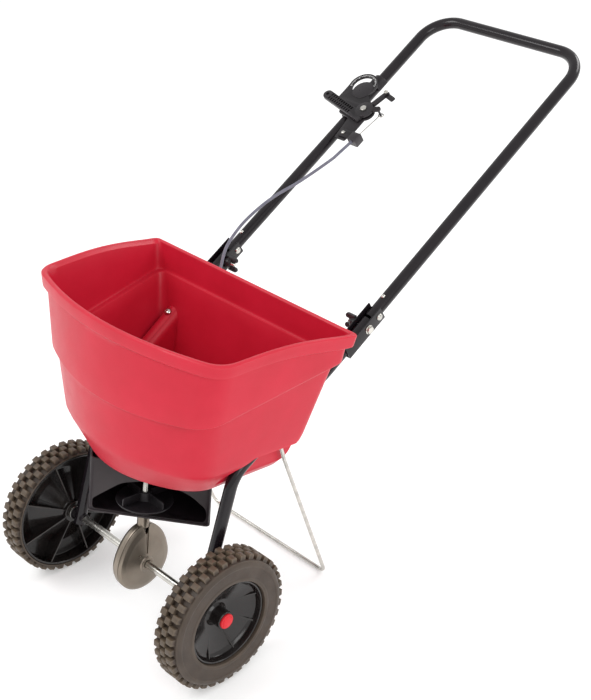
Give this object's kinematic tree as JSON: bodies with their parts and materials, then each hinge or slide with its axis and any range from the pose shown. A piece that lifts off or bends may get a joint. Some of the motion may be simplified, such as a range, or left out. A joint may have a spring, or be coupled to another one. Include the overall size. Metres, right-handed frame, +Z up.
{
  "type": "broadcast spreader",
  "caption": "Walk-behind broadcast garden spreader: red hopper on two wheels, gear-driven impeller, wire stand and a sloping U handle with a flow lever.",
  "frame": {"origin": "on the ground under the middle of the spreader's overall box, parked on its stand", "axes": "+X along the axle towards the driven wheel, +Y back towards the operator, +Z up"},
  "size_m": [0.4696, 1.0056, 0.7925],
  "materials": {
    "hopper_red": "glossy moulded plastic",
    "black_paint": "gloss powder coat",
    "black_plastic": "satin moulded plastic",
    "tyre": "matt rubber",
    "zinc": "bright zinc plate",
    "grey_case": "satin pewter grey",
    "cable_grey": "satin",
    "nylon": "satin natural nylon"
  },
  "bodies": {
    "frame": {"hopper": "hopper_red", "joint_channel_left": "black_paint", "joint_channel_right": "black_paint", "handle": "black_paint", "frame_tube_left": "black_paint", "frame_tube_right": "black_paint", "control_strap": "black_paint", "base_plate": "black_plastic", "shroud": "black_plastic", "control_body": "black_plastic", "cable_clamp": "black_plastic", "washer_left": "zinc", "washer_right": "zinc", "stand": "zinc", "knob_bolt_left": "zinc", "knob_bolt_right": "zinc", "joint_rivet_left": "zinc", "joint_rivet_right": "zinc", "hopper_bolt_left": "zinc", "hopper_bolt_right": "zinc", "control_screw_inner": "zinc", "control_screw_outer": "zinc", "lever_pivot_bolt": "zinc", "cable_clamp_screw": "zinc", "gearbox_shell_left": "grey_case", "gearbox_shell_right": "grey_case", "cable_conduit": "cable_grey", "shaft_bushing": "nylon", "shroud_bushing": "nylon", "axle_bearing_left": "nylon", "axle_bearing_right": "nylon"},
    "axle": {"axle": "zinc", "drive_pin": "zinc", "ring_gear": "nylon", "wheel_right": "black_plastic", "tyre_right": "tyre", "hub_cap_right": "hopper_red"},
    "left_wheel": {"wheel_left": "black_plastic", "tyre_left": "tyre", "hub_cap_left": "hopper_red"},
    "impeller": {"impeller": "black_plastic", "impeller_shaft": "zinc", "pinion": "nylon", "agitator": "zinc"},
    "gate": {"shutoff_gate": "zinc", "gate_wire": "zinc"},
    "lever": {"control_lever": "black_plastic"},
    "upper_wire": {"upper_wire": "zinc"},
    "rate_stop": {"rate_stop": "black_plastic"},
    "wing_knob_left": {"wing_knob_left": "black_plastic"},
    "wing_knob_right": {"wing_knob_right": "black_plastic"}
  },
  "joints": [
    {"name": "axle_spin", "type": "hinge", "parent": "frame", "child": "axle", "pos_m": [0, -0.3885, 0.1143], "axis": [1, 0, 0], "continuous": true},
    {"name": "left_wheel_spin", "type": "hinge", "parent": "frame", "child": "left_wheel", "pos_m": [-0.2, -0.3885, 0.1143], "axis": [1, 0, 0], "continuous": true},
    {"name": "impeller_spin", "type": "hinge", "parent": "frame", "child": "impeller", "pos_m": [0.006, -0.37398, 0.21324], "axis": [0, 0.1452, 0.9894], "continuous": true},
    {"name": "lever_swing", "type": "hinge", "parent": "frame", "child": "lever", "pos_m": [-0.127, 0.25967, 0.67254], "axis": [0, 0.4955, -0.8686], "range_deg": [0, 50]},
    {"name": "gate_slide", "type": "slide", "parent": "frame", "child": "gate", "axis": [0, -0.9894, 0.1452], "range_m": [0, 0.0221]},
    {"name": "wire_slide", "type": "slide", "parent": "frame", "child": "upper_wire", "axis": [0, -0.9278, -0.373], "range_m": [0, 0.0221]},
    {"name": "rate_stop_turn", "type": "hinge", "parent": "frame", "child": "rate_stop", "pos_m": [-0.127, 0.26116, 0.66994], "axis": [0, 0.4955, -0.8686], "range_deg": [-45, 0]},
    {"name": "wing_knob_left_turn", "type": "hinge", "parent": "frame", "child": "wing_knob_left", "pos_m": [-0.144, -0.0466, 0.47482], "axis": [1, 0, 0], "continuous": true},
    {"name": "wing_knob_right_turn", "type": "hinge", "parent": "frame", "child": "wing_knob_right", "pos_m": [0.144, -0.0466, 0.47482], "axis": [1, 0, 0], "continuous": true}
  ],
  "couplings": [
    {"joint": "impeller_spin", "follows": "axle_spin", "ratio": 4},
    {"joint": "gate_slide", "follows": "lever_swing", "m_per_rad": 0.02521},
    {"joint": "wire_slide", "follows": "lever_swing", "m_per_rad": 0.02521}
  ]
}
